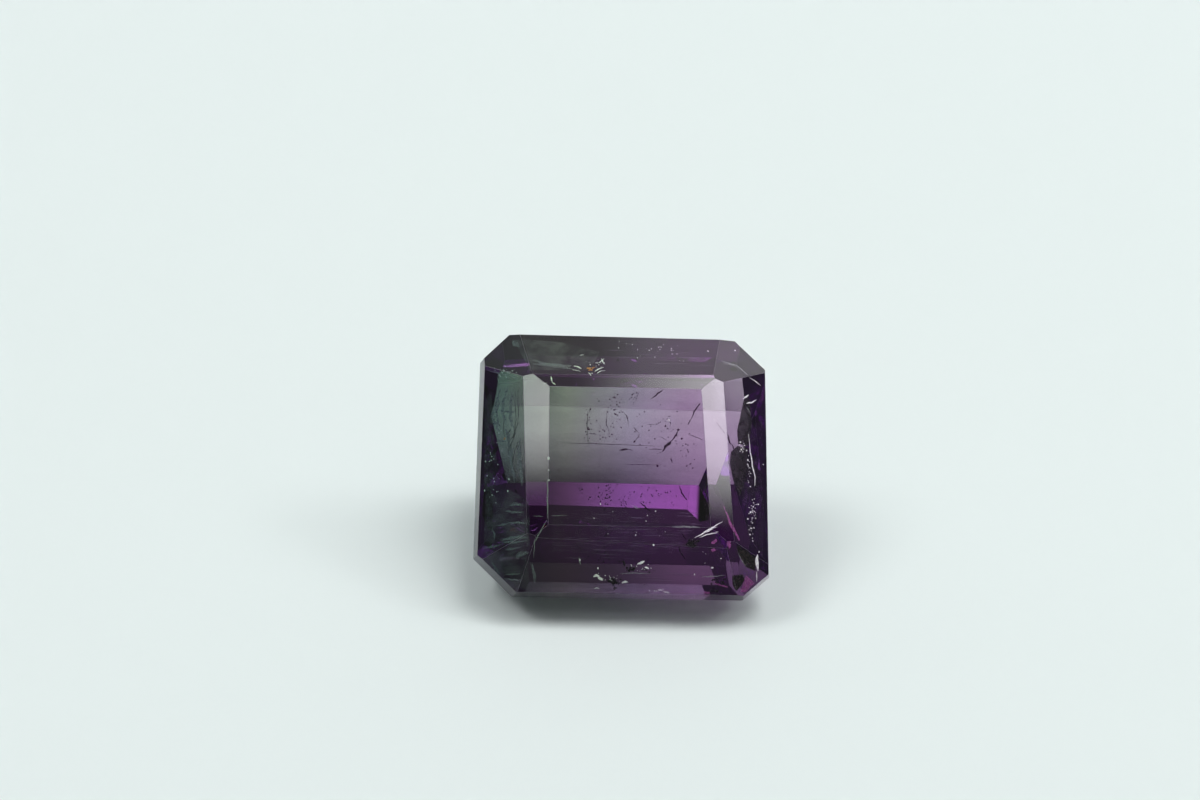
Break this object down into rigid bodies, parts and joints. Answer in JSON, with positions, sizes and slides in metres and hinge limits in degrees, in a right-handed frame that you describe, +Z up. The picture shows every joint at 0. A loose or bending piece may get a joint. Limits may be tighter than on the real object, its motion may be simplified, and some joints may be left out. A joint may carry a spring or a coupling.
{
  "type": "bicolor tourmaline gemstone",
  "caption": "Loose faceted gemstone in an octagonal step cut, blue-grey at one end and violet at the other, lying on a facet of its keel with the table leaning to the front.",
  "frame": {"origin": "on the ground, under the middle of the stone's bounding box", "axes": "+X along the stone's length, from the blue-grey end to the violet end; the table faces -Y and up; +Z up"},
  "size_m": [0.0122, 0.0092, 0.0084],
  "materials": {
    "tourmaline": "polished clear stone, blue-grey at -X fading to violet at +X"
  },
  "bodies": {
    "root": {"tourmaline": "tourmaline"}
  },
  "joints": []
}
